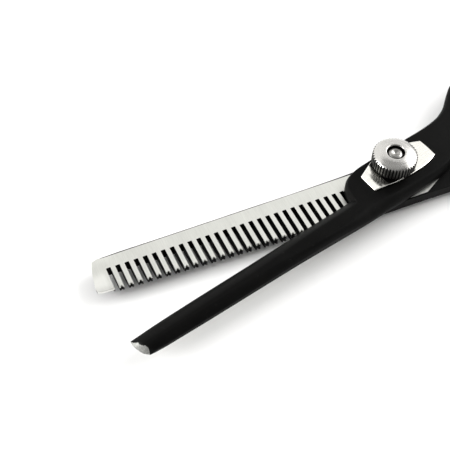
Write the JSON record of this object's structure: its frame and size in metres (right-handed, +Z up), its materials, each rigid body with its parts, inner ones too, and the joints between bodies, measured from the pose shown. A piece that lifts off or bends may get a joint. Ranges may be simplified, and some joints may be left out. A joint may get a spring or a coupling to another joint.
{
  "type": "thinning shears",
  "caption": "Hair thinning shears: comb-toothed half and straight half on an adjustable knurled pivot nut with leaf spring, finger rings, bumper and finger rest.",
  "frame": {"origin": "on the pivot axis, in the plane the shears rest on: the centre of the pivot screw head's flat underside", "axes": "+X along the comb blade to its tip, +Y to the side the teeth point to, +Z up along the pivot axis to the tension nut"},
  "size_m": [0.1624, 0.0877, 0.011],
  "materials": {
    "blade_steel": "satin, fine grinding lines across the blade, black coated outside the ground faces",
    "black_coating": "satin black coating on steel",
    "polished_steel": "polished",
    "nut_steel": "satin polished dome, knurled edge",
    "white_nylon": "matte",
    "black_nylon": "matte",
    "black_rubber": "matte"
  },
  "bodies": {
    "comb_half": {"comb_blade_half": "blade_steel", "pivot_screw": "polished_steel", "bumper": "black_rubber", "thumb_ring_insert": "black_rubber"},
    "straight_half": {"straight_blade_half": "black_coating", "pivot_bushing": "white_nylon", "tension_leaf_spring": "polished_steel", "finger_ring_insert": "black_rubber", "finger_rest": "black_coating"},
    "nut": {"tension_nut": "nut_steel", "nut_washer": "black_nylon"}
  },
  "joints": [
    {"name": "blade_pivot", "type": "hinge", "parent": "comb_half", "child": "straight_half", "pos_m": [0, 0, 0.005], "axis": [0, 0, 1], "range_deg": [-11.6, 70]},
    {"name": "nut_turn", "type": "hinge", "parent": "comb_half", "child": "nut", "pos_m": [0, 0, 0.0088], "axis": [0, 0, 1], "range_deg": [-180, 180]}
  ]
}
